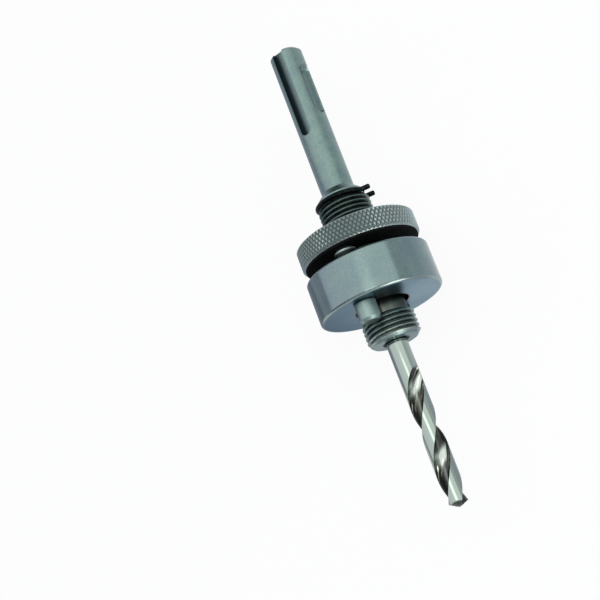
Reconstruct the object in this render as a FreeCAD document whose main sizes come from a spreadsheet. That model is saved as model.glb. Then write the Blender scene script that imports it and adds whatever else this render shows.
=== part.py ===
import FreeCAD, Part
import math
import os
import PartDesign
import Sketcher

# Hole saw arbor. X runs along the axis, from the shank to the drill's tip, and Z is up.
# The origin is on the axis, at the drive plate's front face. Lengths are in mm.
# "Setback" is a distance behind the plate's front face, towards the shank, and a depth on the
# threaded body is measured on the radius, from the thread's crests.

SIZES = {
    # Shank with two open drive grooves and two closed ball recesses
    "shank_dia": 10.0,
    "shank_length": 47.8,
    "shank_chamfer": 0.9,
    "groove_width": 3.6,
    "groove_floor": 3.0,
    "groove_length": 29.1,
    "recess_round": 7.0,
    "recess_floor": 3.2,
    "recess_inset": 6.1,
    "recess_length": 17.5,
    "recess_corner": 1.8,
    # Threaded body behind the plate, with the seat of the snap ring
    "tail_cone": 2.1,
    "tail_fillet": 1.0,
    "tail_depth": 0.7375,
    "ring_wall": 0.55,
    "ring_setback": 33.9,
    "ring_seat_depth": 1.1375,
    "thread_dia": 15.875,
    "thread_chamfer": 0.5,
    "flat_depth": 0.7875,
    "shank_turn": 9.0,
    # Relieved neck and the thread that takes the saw
    "neck_depth": 1.2375,
    "neck_ahead": 3.7,
    "neck_length": 5.0,
    "saw_thread_length": 7.5,
    "nose_chamfer": 1.25,
    # Snap ring of round wire, its two ends turned outwards
    "wire_dia": 1.5,
    "ring_reach": 9.6,
    "ring_gap": 6.8,
    "ring_bend": 1.2,
    "ring_end_round": 0.5,
    "ring_turn": -15.0,
    # Knurled lock nut
    "nut_dia": 36.0,
    "nut_thickness": 6.4,
    "nut_setback": 17.1,
    "nut_edge": 0.45,
    "nut_bore_chamfer": 0.7,
    "knurl_pitch": 1.3,
    "knurl_depth": 0.34,
    "knurl_angle": 30.0,
    # Friction washer on the nut's front face
    "washer_dia": 34.4,
    "washer_thickness": 0.6,
    # Drive plate
    "plate_dia": 36.92,
    "plate_thickness": 13.0,
    "plate_front_round": 0.9,
    "plate_rear_round": 0.7,
    # Drive pins, a small gap clear of the saw's thread
    "pin_dia": 6.35,
    "pin_gap": 0.55,
    "pin_ahead": 6.0,
    "pin_chamfer": 0.8,
    # Pilot drill
    "drill_dia": 6.35,
    "drill_length": 84.8,
    "drill_setback": 24.0,
    "drill_end_chamfer": 0.4,
    "drill_mouth": 0.85,
    "drill_turn": -26.0,
    "flute_lead": 40.0,
    "flute_length": 34.0,
    "flute_round": 4.7,
    "flute_runout": 8.0,
    "web_thickness": 1.3,
    "point_angle": 135.0,
    "lip_lag": 60.0,
    "heel_relief": 28.0,
    "heel_offset": 0.9,
    "drill_flat_depth": 0.3,
    "drill_flat_length": 8.0,
    # Grub screw that holds the drill, sunk a little below the body's flat
    "grub_dia": 5.0,
    "grub_sink": 0.275,
    "grub_setback": 6.0,
    "grub_chamfer": 0.4,
    "key_across": 2.5,
    "key_depth": 2.0,
    # Clearances, measured on the radius
    "turning_gap": 0.06,
    "sliding_gap": 0.1,
    "drill_gap": 0.05,
    "grub_gap": 0.04,
}

# Sizes worked out in the sheet from those above
WORKED_OUT = {
    "tail_dia": "=thread_dia - 2 * tail_depth",
    "ring_seat_dia": "=thread_dia - 2 * ring_seat_depth",
    "flat_height": "=thread_dia / 2 - flat_depth",
    "neck_dia": "=thread_dia - 2 * neck_depth",
    "pin_circle": "=thread_dia + pin_dia + 2 * pin_gap",
    "grub_length": "=flat_height - grub_sink - drill_dia / 2 + drill_flat_depth",
}

AXIS = FreeCAD.Vector(1, 0, 0)
UP = FreeCAD.Vector(0, 0, 1)
ORIGIN = FreeCAD.Vector(0, 0, 0)

# How far off the drill a flute's cutter starts, and the steps in which it sinks in
CUTTER_LIFT = 0.3
RISE_STEPS = 12

doc = FreeCAD.newDocument("hole_saw_arbor")


def fill_sheet():
    """Put every driving dimension into its own named cell."""
    sheet = doc.addObject("Spreadsheet::Sheet", "Sizes")
    for row, (alias, value) in enumerate({**SIZES, **WORKED_OUT}.items(), start=1):
        sheet.set(f"A{row}", alias.replace("_", " "))
        sheet.set(f"B{row}", str(value))
        sheet.setAlias(f"B{row}", alias)
    doc.recompute()
    return sheet


def new_body(label):
    body = doc.addObject("PartDesign::Body", label)
    body.Label = label
    return body


def new_sketch(body, name, role):
    """A sketch on one of the body's own origin planes."""
    sketch = body.newObject("Sketcher::SketchObject", name)
    plane = [item for item in body.Origin.OriginFeatures if item.Role == role][0]
    sketch.AttachmentSupport = [(plane, "")]
    sketch.MapMode = "FlatFace"
    return sketch


def bind(sketch, kind, *args):
    """Add a constraint whose value follows an expression: the last two arguments are its start
    value and the expression."""
    *where, start, expression = args
    index = sketch.addConstraint(Sketcher.Constraint(kind, *where, start))
    sketch.setExpression(f"Constraints[{index}]", expression)


def outline(sketch, corners):
    """Draw a closed outline of straight lines, each corner held at its own X and Y expression."""
    count = len(corners)
    around = [2 * math.pi * i / count for i in range(count)]
    rough = [FreeCAD.Vector(20 * math.cos(t), 20 * math.sin(t), 0) for t in around]
    first = sketch.GeometryCount
    for i in range(count):
        sketch.addGeometry(Part.LineSegment(rough[i], rough[(i + 1) % count]), False)
    for i in range(count):
        following = first + (i + 1) % count
        sketch.addConstraint(Sketcher.Constraint("Coincident", first + i, 2, following, 1))
    for i, (across, up) in enumerate(corners):
        bind(sketch, "DistanceX", -1, 1, first + i, 1, rough[i].x, across)
        bind(sketch, "DistanceY", -1, 1, first + i, 1, rough[i].y, up)


def circle(sketch, across, up, diameter):
    """Draw a circle whose centre and diameter follow expressions."""
    index = sketch.addGeometry(Part.Circle(FreeCAD.Vector(1, 1, 0), UP, 1), False)
    bind(sketch, "DistanceX", -1, 1, index, 3, 1, across)
    bind(sketch, "DistanceY", -1, 1, index, 3, 1, up)
    bind(sketch, "Diameter", index, 2, diameter)


def turned(body, corners):
    """Turn an outline of X and radius about the body's X axis."""
    sketch = new_sketch(body, "turned_outline", "XZ_Plane")
    outline(sketch, corners)
    solid = body.newObject("PartDesign::Revolution", "turned")
    solid.Profile = sketch
    solid.ReferenceAxis = (sketch, ["H_Axis"])
    solid.Angle = 360
    doc.recompute()
    return solid


def padded(body, sketch, length):
    """Pad a sketch of the YZ plane along X."""
    solid = body.newObject("PartDesign::Pad", "pad")
    solid.Profile = sketch
    solid.setExpression("Length", length)
    doc.recompute()
    return solid


def pair_about_axis(body, feature):
    """Repeat a feature on the opposite side of the body's X axis."""
    pattern = body.newObject("PartDesign::PolarPattern", feature.Name + "_pair")
    pattern.Originals = [feature]
    x_axis = [item for item in body.Origin.OriginFeatures if item.Role == "X_Axis"][0]
    pattern.Axis = (x_axis, [""])
    pattern.Angle = 360
    pattern.Occurrences = 2
    body.Tip = pattern
    doc.recompute()


def place(item, across, turn="0"):
    """Put a piece at its X, turned about the axis."""
    item.Placement = FreeCAD.Placement(ORIGIN, FreeCAD.Rotation(AXIS, 1))
    item.setExpression("Placement.Base.x", across)
    item.setExpression("Placement.Rotation.Angle", turn)


def make_arbor_body():
    """Shank and threaded body, turned in one piece; the drive grooves face up and down before
    the piece is turned to its index."""
    body = new_body("arbor_body")
    tail_face = "-(Sizes.ring_setback + Sizes.wire_dia / 2 + Sizes.ring_wall + Sizes.tail_cone)"
    seat_rear = "-(Sizes.ring_setback + Sizes.wire_dia / 2)"
    seat_front = "-(Sizes.ring_setback - Sizes.wire_dia / 2)"
    shank_end = tail_face + " - Sizes.shank_length"
    neck_rear = "Sizes.neck_ahead - Sizes.neck_length"
    nose = "Sizes.neck_ahead + Sizes.saw_thread_length"
    bore = "(Sizes.drill_dia / 2 + Sizes.drill_gap)"
    thread = "Sizes.thread_dia / 2"
    turned(body, [
        (shank_end, "0"),
        (shank_end, "Sizes.shank_dia / 2 - Sizes.shank_chamfer"),
        (shank_end + " + Sizes.shank_chamfer", "Sizes.shank_dia / 2"),
        (tail_face, "Sizes.shank_dia / 2"),
        (tail_face + " + Sizes.tail_cone", "Sizes.tail_dia / 2"),
        (seat_rear, "Sizes.tail_dia / 2"),
        (seat_rear, "Sizes.ring_seat_dia / 2"),
        (seat_front, "Sizes.ring_seat_dia / 2"),
        (seat_front, thread + " - Sizes.thread_chamfer"),
        (seat_front + " + Sizes.thread_chamfer", thread),
        (neck_rear + " - Sizes.neck_depth", thread),
        (neck_rear, "Sizes.neck_dia / 2"),
        ("Sizes.neck_ahead", "Sizes.neck_dia / 2"),
        ("Sizes.neck_ahead", thread + " - Sizes.thread_chamfer"),
        ("Sizes.neck_ahead + Sizes.thread_chamfer", thread),
        (nose + " - Sizes.nose_chamfer", thread),
        (nose, thread + " - Sizes.nose_chamfer"),
        (nose, bore + " + Sizes.drill_mouth"),
        (nose + " - Sizes.drill_mouth", bore),
        ("-Sizes.drill_setback", bore),
        ("-Sizes.drill_setback", "0"),
    ])
    fillet_tail(body)
    cut_drive_grooves(body, shank_end)
    cut_ball_recesses(body, shank_end)
    cut_flat(body, seat_rear, neck_rear)
    cut_grub_hole(body)
    place(body, "0", "Sizes.shank_turn")
    return body


def fillet_tail(body):
    """Round the inner corner where the shank runs into the body's rear cone."""
    base = body.Tip
    corner = SIZES["ring_setback"] + SIZES["wire_dia"] / 2 + SIZES["ring_wall"] + SIZES["tail_cone"]
    fillet = body.newObject("PartDesign::Fillet", "tail_fillet")
    fillet.Base = (base, [round_edge(base.Shape, -corner, SIZES["shank_dia"] / 2)])
    fillet.setExpression("Radius", "Sizes.tail_fillet")
    doc.recompute()


def round_edge(shape, x, radius=None):
    """Name of the round edge at an X and of a radius, or else of the outermost one there."""
    rims = []
    for number, edge in enumerate(shape.Edges, start=1):
        if isinstance(edge.Curve, Part.Circle) and abs(edge.Curve.Center.x - x) < 0.001:
            rims.append((edge.Curve.Radius, f"Edge{number}"))
    if radius is None:
        return max(rims)[1]
    return min(rims, key=lambda rim: abs(rim[0] - radius))[1]


def cut_drive_grooves(body, shank_end):
    """Two grooves, open at the shank's end, with a round inner end."""
    sketch = new_sketch(body, "groove_outline", "XY_Plane")
    sketch.setExpression("AttachmentOffset.Base.z", "Sizes.groove_floor")
    half = SIZES["groove_width"] / 2
    rough_end = -SIZES["ring_setback"] - SIZES["shank_length"]
    rough_centre = rough_end + SIZES["groove_length"]
    low = FreeCAD.Vector(rough_end, -half, 0)
    high = FreeCAD.Vector(rough_end, half, 0)
    low_end = FreeCAD.Vector(rough_centre, -half, 0)
    high_end = FreeCAD.Vector(rough_centre, half, 0)
    sketch.addGeometry(Part.LineSegment(low, low_end), False)
    quarter = math.pi / 2
    round_end = Part.Circle(FreeCAD.Vector(rough_centre, 0, 0), UP, half)
    sketch.addGeometry(Part.ArcOfCircle(round_end, -quarter, quarter), False)
    sketch.addGeometry(Part.LineSegment(high_end, high), False)
    sketch.addGeometry(Part.LineSegment(high, low), False)
    sketch.addConstraint(Sketcher.Constraint("Tangent", 0, 2, 1, 1))
    sketch.addConstraint(Sketcher.Constraint("Tangent", 1, 2, 2, 1))
    sketch.addConstraint(Sketcher.Constraint("Coincident", 2, 2, 3, 1))
    sketch.addConstraint(Sketcher.Constraint("Coincident", 3, 2, 0, 1))
    sketch.addConstraint(Sketcher.Constraint("Horizontal", 0))
    sketch.addConstraint(Sketcher.Constraint("Vertical", 3))
    sketch.addConstraint(Sketcher.Constraint("PointOnObject", 1, 3, -1))
    bind(sketch, "Radius", 1, half, "Sizes.groove_width / 2")
    bind(sketch, "DistanceX", -1, 1, 0, 1, rough_end, shank_end + " - Sizes.shank_chamfer")
    end_centre = shank_end + " + Sizes.groove_length - Sizes.groove_width / 2"
    bind(sketch, "DistanceX", -1, 1, 1, 3, rough_centre, end_centre)
    pocket = body.newObject("PartDesign::Pocket", "drive_groove")
    pocket.Profile = sketch
    pocket.Reversed = True
    pocket.setExpression("Length", "Sizes.shank_dia")
    doc.recompute()
    pair_about_axis(body, pocket)


def cut_ball_recesses(body, shank_end):
    """Two closed recesses with a round bottom, a quarter turn from the grooves."""
    sketch = new_sketch(body, "recess_outline", "XY_Plane")
    sketch.setExpression("AttachmentOffset.Base.y", "Sizes.recess_floor + Sizes.recess_round / 2")
    start = shank_end + " + Sizes.recess_inset"
    end = start + " + Sizes.recess_length"
    depth = "-Sizes.recess_round / 2"
    outline(sketch, [
        (start, "0"),
        (start, depth + " + Sizes.recess_corner"),
        (start + " + Sizes.recess_corner", depth),
        (end + " - Sizes.recess_corner", depth),
        (end, depth + " + Sizes.recess_corner"),
        (end, "0"),
    ])
    groove = body.newObject("PartDesign::Groove", "ball_recess")
    groove.Profile = sketch
    groove.ReferenceAxis = (sketch, ["H_Axis"])
    groove.Angle = 360
    doc.recompute()
    pair_about_axis(body, groove)


def cut_flat(body, rear, front):
    """Flat under the rear thread, which keeps the plate and the washer from turning."""
    sketch = new_sketch(body, "flat_outline", "XZ_Plane")
    turn_about_axis(sketch)
    outline(sketch, [
        (front, "-Sizes.flat_height"),
        (rear, "-Sizes.flat_height"),
        (rear, "-Sizes.thread_dia"),
        (front, "-Sizes.thread_dia"),
    ])
    pocket = body.newObject("PartDesign::Pocket", "flat")
    pocket.Profile = sketch
    pocket.Midplane = True
    pocket.setExpression("Length", "2 * Sizes.thread_dia")
    doc.recompute()


def turn_about_axis(sketch):
    """Turn a sketch back by the body's index, so that it lies square to the drive pins."""
    sketch.AttachmentOffset = FreeCAD.Placement(ORIGIN, FreeCAD.Rotation(AXIS, 1))
    sketch.setExpression("AttachmentOffset.Rotation.Angle", "-Sizes.shank_turn")


def cut_grub_hole(body):
    """Tapped hole from the flat to the drill's bore, at the thread's major size."""
    sketch = new_sketch(body, "grub_hole_outline", "XY_Plane")
    turn_about_axis(sketch)
    circle(sketch, "-Sizes.grub_setback", "0", "Sizes.grub_dia + 2 * Sizes.grub_gap")
    pocket = body.newObject("PartDesign::Pocket", "grub_hole")
    pocket.Profile = sketch
    pocket.setExpression("Length", "Sizes.thread_dia")
    doc.recompute()


def make_snap_ring(sizes):
    """Open ring of round wire in the body's groove. The gap faces +Y before the ring is turned."""
    body = new_body("snap_ring")
    wire = sizes.wire_dia
    ring = (sizes.ring_seat_dia + wire) / 2
    bend = sizes.ring_bend
    half_gap = sizes.ring_gap / 2
    bend_up = half_gap + bend
    bend_out = math.sqrt((ring + bend) ** 2 - bend_up**2)
    slope = math.atan2(bend_up, bend_out)
    path = new_sketch(body, "ring_path", "YZ_Plane")
    end_high = FreeCAD.Vector(sizes.ring_reach, half_gap, 0)
    end_low = FreeCAD.Vector(sizes.ring_reach, -half_gap, 0)
    path.addGeometry(Part.LineSegment(end_high, FreeCAD.Vector(bend_out, half_gap, 0)), False)
    high_bend = Part.Circle(FreeCAD.Vector(bend_out, bend_up, 0), UP, bend)
    path.addGeometry(Part.ArcOfCircle(high_bend, math.pi + slope, 1.5 * math.pi), False)
    round_wire = Part.Circle(ORIGIN, UP, ring)
    path.addGeometry(Part.ArcOfCircle(round_wire, slope, 2 * math.pi - slope), False)
    low_bend = Part.Circle(FreeCAD.Vector(bend_out, -bend_up, 0), UP, bend)
    path.addGeometry(Part.ArcOfCircle(low_bend, 0.5 * math.pi, math.pi - slope), False)
    path.addGeometry(Part.LineSegment(FreeCAD.Vector(bend_out, -half_gap, 0), end_low), False)
    path.addConstraint(Sketcher.Constraint("Tangent", 0, 2, 1, 2))
    path.addConstraint(Sketcher.Constraint("Tangent", 1, 1, 2, 1))
    path.addConstraint(Sketcher.Constraint("Tangent", 2, 2, 3, 2))
    path.addConstraint(Sketcher.Constraint("Tangent", 3, 1, 4, 1))
    path.addConstraint(Sketcher.Constraint("Coincident", 2, 3, -1, 1))
    path.addConstraint(Sketcher.Constraint("Horizontal", 0))
    path.addConstraint(Sketcher.Constraint("Horizontal", 4))
    bind(path, "Radius", 2, ring, "(Sizes.ring_seat_dia + Sizes.wire_dia) / 2")
    bind(path, "Radius", 1, bend, "Sizes.ring_bend")
    bind(path, "Radius", 3, bend, "Sizes.ring_bend")
    bind(path, "DistanceX", -1, 1, 0, 1, sizes.ring_reach, "Sizes.ring_reach")
    bind(path, "DistanceX", -1, 1, 4, 2, sizes.ring_reach, "Sizes.ring_reach")
    bind(path, "DistanceY", -1, 1, 0, 1, half_gap, "Sizes.ring_gap / 2")
    bind(path, "DistanceY", -1, 1, 4, 2, -half_gap, "-Sizes.ring_gap / 2")
    section = new_sketch(body, "wire_section", "XZ_Plane")
    section.setExpression("AttachmentOffset.Base.z", "-Sizes.ring_reach")
    circle(section, "0", "Sizes.ring_gap / 2", "Sizes.wire_dia")
    doc.recompute()
    pipe = body.newObject("PartDesign::AdditivePipe", "wire")
    pipe.Profile = section
    pipe.Spine = path
    doc.recompute()
    rounding = body.newObject("PartDesign::Fillet", "wire_ends")
    rounding.Base = (pipe, end_edges(pipe.Shape, sizes.ring_reach))
    rounding.setExpression("Radius", "Sizes.ring_end_round")
    doc.recompute()
    place(body, "-Sizes.ring_setback", "Sizes.ring_turn")
    return body


def end_edges(shape, reach):
    """Names of the edges round the wire's two end faces."""
    names = []
    for number, edge in enumerate(shape.Edges, start=1):
        if edge.BoundBox.YMin > reach - 0.001:
            names.append(f"Edge{number}")
    return names


def knurled_blank(sizes):
    """Nut blank with a diamond knurl: rows of four-sided points between crossing valleys."""
    radius = sizes.nut_dia / 2
    columns = 2 * round(math.pi * sizes.nut_dia / sizes.knurl_pitch)
    half_pitch = math.pi * sizes.nut_dia / columns
    plain_width = sizes.nut_thickness - 2 * sizes.nut_edge
    rows = max(2, round(plain_width * math.tan(math.radians(sizes.knurl_angle)) / half_pitch))
    turn = 2 * math.pi / columns

    def ring(x, radii):
        points = []
        for i in range(columns):
            r = radii[i % 2]
            points.append(FreeCAD.Vector(x, r * math.cos(i * turn), r * math.sin(i * turn)))
        return points

    peak = radius
    valley = radius - sizes.knurl_depth
    side = valley - sizes.nut_edge
    rings = [ring(0, (side, side))]
    for k in range(rows + 1):
        x = sizes.nut_edge + plain_width * k / rows
        rings.append(ring(x, (valley, peak) if k % 2 == 0 else (peak, valley)))
    rings.append(ring(sizes.nut_thickness, (side, side)))
    faces = [flat_face(rings[0][::-1]), flat_face(rings[-1])]
    for k in range(len(rings) - 1):
        for i in range(columns):
            j = (i + 1) % columns
            low_a, low_b = rings[k][i], rings[k][j]
            high_a, high_b = rings[k + 1][i], rings[k + 1][j]
            if (i + k) % 2 == 1:
                faces += [flat_face([low_a, low_b, high_b]), flat_face([low_a, high_b, high_a])]
            else:
                faces += [flat_face([low_a, low_b, high_a]), flat_face([low_b, high_b, high_a])]
    shell = Part.makeShell(faces)
    shell.sewShape()
    return Part.makeSolid(shell)


def flat_face(points):
    """Flat face inside a closed run of points."""
    return Part.Face(Part.makePolygon(points + points[:1]))


def make_lock_nut(sizes):
    """Knurled nut with a plain bore at the thread's major size and chamfered bore edges."""
    blank = doc.addObject("Part::Feature", "knurled_blank")
    blank.Shape = knurled_blank(sizes)
    bore = doc.addObject("Part::Cylinder", "nut_bore")
    bore.Placement = FreeCAD.Placement(ORIGIN, FreeCAD.Rotation(FreeCAD.Vector(0, 1, 0), 90))
    bore.setExpression("Radius", "Sizes.thread_dia / 2 + Sizes.turning_gap")
    bore.setExpression("Height", "Sizes.nut_thickness")
    bored = doc.addObject("Part::Cut", "bored_nut")
    bored.Base = blank
    bored.Tool = bore
    doc.recompute()
    nut = doc.addObject("Part::Chamfer", "lock_nut")
    nut.Base = bored
    size = sizes.nut_bore_chamfer
    nut.Edges = [(number, size, size) for number in bore_edges(bored.Shape)]
    nut.Label = "lock_nut"
    place(nut, "-Sizes.nut_setback - Sizes.nut_thickness")
    return nut


def bore_edges(shape):
    """Numbers of the shape's round edges."""
    numbers = []
    for number, edge in enumerate(shape.Edges, start=1):
        if isinstance(edge.Curve, Part.Circle):
            numbers.append(number)
    return numbers


def flatted_hole(sketch, sizes):
    """Hole that slides over the thread and its flat: an arc, closed below by a straight line."""
    radius = sizes.thread_dia / 2 + sizes.sliding_gap
    flat = sizes.flat_height + sizes.sliding_gap
    corner = math.asin(flat / radius)
    arc = Part.ArcOfCircle(Part.Circle(ORIGIN, UP, radius), -corner, math.pi + corner)
    first = sketch.addGeometry(arc, False)
    line = sketch.addGeometry(Part.LineSegment(arc.EndPoint, arc.StartPoint), False)
    sketch.addConstraint(Sketcher.Constraint("Coincident", first, 2, line, 1))
    sketch.addConstraint(Sketcher.Constraint("Coincident", line, 2, first, 1))
    sketch.addConstraint(Sketcher.Constraint("Coincident", first, 3, -1, 1))
    sketch.addConstraint(Sketcher.Constraint("Horizontal", line))
    bind(sketch, "Radius", first, radius, "Sizes.thread_dia / 2 + Sizes.sliding_gap")
    bind(sketch, "DistanceY", -1, 1, first, 1, -flat, "-Sizes.flat_height - Sizes.sliding_gap")


def make_friction_washer(sizes):
    """Thin round washer with a flatted hole, on the nut's front face."""
    body = new_body("friction_washer")
    sketch = new_sketch(body, "washer_outline", "YZ_Plane")
    circle(sketch, "0", "0", "Sizes.washer_dia")
    flatted_hole(sketch, sizes)
    padded(body, sketch, "Sizes.washer_thickness")
    place(body, "-Sizes.nut_setback")
    return body


def make_drive_plate(sizes):
    """Thick round plate with two pin holes and rounded rims."""
    body = new_body("drive_plate")
    sketch = new_sketch(body, "plate_outline", "YZ_Plane")
    circle(sketch, "0", "0", "Sizes.plate_dia")
    flatted_hole(sketch, sizes)
    for side in ("", "-"):
        circle(sketch, "0", side + "Sizes.pin_circle / 2", "Sizes.pin_dia")
    padded(body, sketch, "Sizes.plate_thickness")
    for name, face in (("front_round", sizes.plate_thickness), ("rear_round", 0)):
        base = body.Tip
        fillet = body.newObject("PartDesign::Fillet", name)
        fillet.Base = (base, [round_edge(base.Shape, face)])
        fillet.setExpression("Radius", "Sizes.plate_" + name)
        doc.recompute()
    place(body, "-Sizes.plate_thickness")
    return body


def make_drive_pin(number, side):
    """Pin pressed through the plate, chamfered at both ends. Its rear end rests on the washer."""
    body = new_body(f"drive_pin_{number}")
    rear = "-Sizes.nut_setback + Sizes.washer_thickness"
    turned(body, [
        (rear, "0"),
        (rear, "Sizes.pin_dia / 2 - Sizes.pin_chamfer"),
        (rear + " + Sizes.pin_chamfer", "Sizes.pin_dia / 2"),
        ("Sizes.pin_ahead - Sizes.pin_chamfer", "Sizes.pin_dia / 2"),
        ("Sizes.pin_ahead", "Sizes.pin_dia / 2 - Sizes.pin_chamfer"),
        ("Sizes.pin_ahead", "0"),
    ])
    body.setExpression("Placement.Base.z", side + "Sizes.pin_circle / 2")
    return body


def flute_path(sizes):
    """Centre line of a flute's cutter: it twists and sinks into the shank, then is a helix."""
    deep = (sizes.web_thickness + sizes.flute_round) / 2
    clear = (sizes.drill_dia + sizes.flute_round) / 2 + CUTTER_LIFT
    runout = sizes.flute_runout
    start = sizes.drill_length - sizes.flute_length
    rise = math.sqrt(runout**2 - (runout - clear + deep) ** 2)
    points = []
    for k in range(RISE_STEPS + 1):
        back = rise * (1 - k / RISE_STEPS)
        radius = deep + runout - math.sqrt(runout**2 - back**2)
        turn = -2 * math.pi * back / sizes.flute_lead
        points.append(FreeCAD.Vector(start - back, radius * math.sin(turn), -radius * math.cos(turn)))
    helix = Part.makeHelix(sizes.flute_lead, sizes.flute_length + sizes.drill_dia, deep)
    helix.rotate(ORIGIN, FreeCAD.Vector(0, 1, 0), 90)
    helix.translate(FreeCAD.Vector(start, 0, 0))
    along = helix.Edges[0].tangentAt(helix.Edges[0].FirstParameter)
    sinking = Part.BSplineCurve()
    sinking.interpolate(points, InitialTangent=points[1] - points[0], FinalTangent=along)
    return Part.Wire([sinking.toShape()] + helix.Edges)


def make_flute_cutter(sizes, number):
    """Round cutter swept along a flute's path."""
    path = flute_path(sizes)
    edge = path.Edges[0]
    start = edge.valueAt(edge.FirstParameter)
    round_section = Part.Circle(start, edge.tangentAt(edge.FirstParameter), sizes.flute_round / 2)
    cutter = doc.addObject("Part::Feature", f"flute_cutter_{number}")
    shape = path.makePipeShell([Part.Wire(round_section.toShape())], True, False)
    shape.rotate(ORIGIN, AXIS, 180 * number)
    cutter.Shape = shape
    return cutter


def cut_away(base, tool, name):
    """Take one shape from another."""
    result = doc.addObject("Part::Cut", name)
    result.Base = base
    result.Tool = tool
    doc.recompute()
    return result


def make_heel_cutter(sizes, number):
    """Block whose lower face is the relieved heel behind one cutting lip."""
    flute_at_point = 360 * sizes.flute_length / sizes.flute_lead - 90
    lip_angle = flute_at_point - sizes.lip_lag + 180 * number
    lip = FreeCAD.Rotation(AXIS, lip_angle).multVec(FreeCAD.Vector(0, 1, 0))
    behind = FreeCAD.Rotation(AXIS, -90).multVec(lip)
    lip_slope = 1 / math.tan(math.radians(sizes.point_angle / 2))
    heel_slope = math.tan(math.radians(sizes.heel_relief))
    outward = AXIS + lip * lip_slope + behind * heel_slope
    down_lip = lip - AXIS * lip_slope
    reach = 2 * sizes.drill_dia
    block = doc.addObject("Part::Box", f"heel_cutter_{number}")
    for side in ("Length", "Width", "Height"):
        block.setExpression(side, "4 * Sizes.drill_dia")
    turn = FreeCAD.Rotation(down_lip, FreeCAD.Vector(), outward, "ZXY")
    middle = AXIS * sizes.drill_length + behind * sizes.heel_offset
    corner = turn.multVec(FreeCAD.Vector(reach, reach, 0))
    block.Placement = FreeCAD.Placement(middle - corner, turn)
    return block


def make_pilot_drill(sizes):
    """Twist drill: turned blank, two flutes that run out into the shank, relieved heels behind
    the lips and a flat for the grub screw."""
    blank = new_body("drill_blank")
    radius = "Sizes.drill_dia / 2"
    point = "Sizes.drill_length - Sizes.drill_dia / 2 / tan(Sizes.point_angle / 2 * 1 deg)"
    turned(blank, [
        ("0", "0"),
        ("0", radius + " - Sizes.drill_end_chamfer"),
        ("Sizes.drill_end_chamfer", radius),
        (point, radius),
        ("Sizes.drill_length", "0"),
    ])
    cut_drill_flat(blank)
    drill = blank
    for number in (0, 1):
        drill = cut_away(drill, make_flute_cutter(sizes, number), f"fluted_{number}")
        drill = cut_away(drill, make_heel_cutter(sizes, number), f"relieved_{number}")
    drill.Label = "pilot_drill"
    place(drill, "-Sizes.drill_setback", "Sizes.drill_turn")
    return drill


def cut_drill_flat(body):
    """Flat on the drill's shank, under the grub screw. It lies square to the body's index."""
    sketch = new_sketch(body, "drill_flat_outline", "XZ_Plane")
    sketch.AttachmentOffset = FreeCAD.Placement(ORIGIN, FreeCAD.Rotation(AXIS, 1))
    sketch.setExpression("AttachmentOffset.Rotation.Angle", "-Sizes.drill_turn")
    middle = "Sizes.drill_setback - Sizes.grub_setback"
    depth = "Sizes.drill_dia / 2 - Sizes.drill_flat_depth"
    outline(sketch, [
        (middle + " - Sizes.drill_flat_length / 2", "-(" + depth + ")"),
        (middle + " + Sizes.drill_flat_length / 2", "-(" + depth + ")"),
        (middle + " + Sizes.drill_flat_length / 2", "-Sizes.drill_dia"),
        (middle + " - Sizes.drill_flat_length / 2", "-Sizes.drill_dia"),
    ])
    pocket = body.newObject("PartDesign::Pocket", "drill_flat")
    pocket.Profile = sketch
    pocket.Midplane = True
    pocket.setExpression("Length", "2 * Sizes.drill_dia")
    doc.recompute()


def make_grub_screw():
    """Grub screw with a hexagon socket, from the drill's flat to just under the body's flat."""
    body = new_body("grub_screw")
    radius = "Sizes.grub_dia / 2"
    sketch = new_sketch(body, "grub_outline", "XZ_Plane")
    outline(sketch, [
        ("0", "0"),
        (radius + " - Sizes.grub_chamfer", "0"),
        (radius, "Sizes.grub_chamfer"),
        (radius, "Sizes.grub_length - Sizes.grub_chamfer"),
        (radius + " - Sizes.grub_chamfer", "Sizes.grub_length"),
        ("0", "Sizes.grub_length"),
    ])
    solid = body.newObject("PartDesign::Revolution", "grub_turned")
    solid.Profile = sketch
    solid.ReferenceAxis = (sketch, ["V_Axis"])
    solid.Angle = 360
    doc.recompute()
    socket = new_sketch(body, "key_socket", "XY_Plane")
    reach = "Sizes.key_across / 2 / cos(30 deg)"
    outline(socket, [
        (reach + f" * cos({angle} deg)", reach + f" * sin({angle} deg)")
        for angle in range(0, 360, 60)
    ])
    pocket = body.newObject("PartDesign::Pocket", "socket")
    pocket.Profile = socket
    pocket.Reversed = True
    pocket.setExpression("Length", "Sizes.key_depth")
    doc.recompute()
    seat = "-(Sizes.drill_dia / 2 - Sizes.drill_flat_depth + Sizes.grub_length)"
    body.setExpression("Placement.Base.x", "-Sizes.grub_setback")
    body.setExpression("Placement.Base.z", seat)
    return body


def check_and_write(pieces):
    """Stop at any failed object or bad shape, then write one file for each piece."""
    doc.recompute()
    for item in doc.Objects:
        if "Invalid" in item.State or "Error" in item.State:
            raise RuntimeError(f"{item.Label} failed: {item.State}")
    os.makedirs("parts", exist_ok=True)
    for piece in pieces:
        shape = piece.Shape
        if shape.isNull() or not shape.isValid():
            raise RuntimeError(f"{piece.Label} has no valid shape")
        shape.exportStep(f"parts/{piece.Label}.step")
        print(piece.Label, "volume", round(shape.Volume, 2), "faces", len(shape.Faces))


def main():
    sheet = fill_sheet()
    pieces = [
        make_arbor_body(),
        make_snap_ring(sheet),
        make_lock_nut(sheet),
        make_friction_washer(sheet),
        make_drive_plate(sheet),
        make_drive_pin(1, ""),
        make_drive_pin(2, "-"),
        make_pilot_drill(sheet),
        make_grub_screw(),
    ]
    check_and_write(pieces)


main()
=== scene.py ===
import math

import bpy
from bpy.props import FloatProperty, FloatVectorProperty, IntProperty, PointerProperty, StringProperty
from mathutils import Euler, Matrix, Vector


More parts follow.
